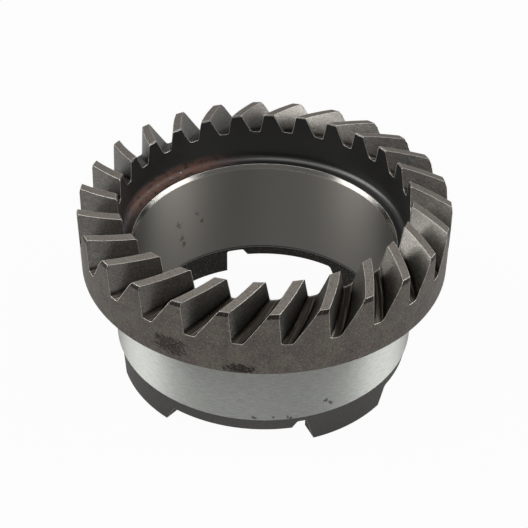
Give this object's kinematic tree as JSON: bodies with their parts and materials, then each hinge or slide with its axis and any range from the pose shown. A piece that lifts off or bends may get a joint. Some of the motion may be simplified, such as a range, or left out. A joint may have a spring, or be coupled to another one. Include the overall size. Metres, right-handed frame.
{
  "type": "spiral bevel gear",
  "caption": "Right-hand spiral bevel ring gear with a hollow ground hub that ends in ramped coupling claws, turning freely on a sleeve and driving through its claws.",
  "frame": {"origin": "on the gear's axis, in the plane of the claw ends that it stands on", "axes": "+Z along the axis, from the claws up to the teeth; a tooth space and a driving face lie a few degrees anticlockwise from +X"},
  "size_m": [0.062, 0.062, 0.0332],
  "materials": {
    "case_hardened_steel": "satin, dark from heat treatment, ground bright on the bearing seat"
  },
  "bodies": {
    "root": {"spiral_bevel_gear": "case_hardened_steel"}
  },
  "joints": []
}
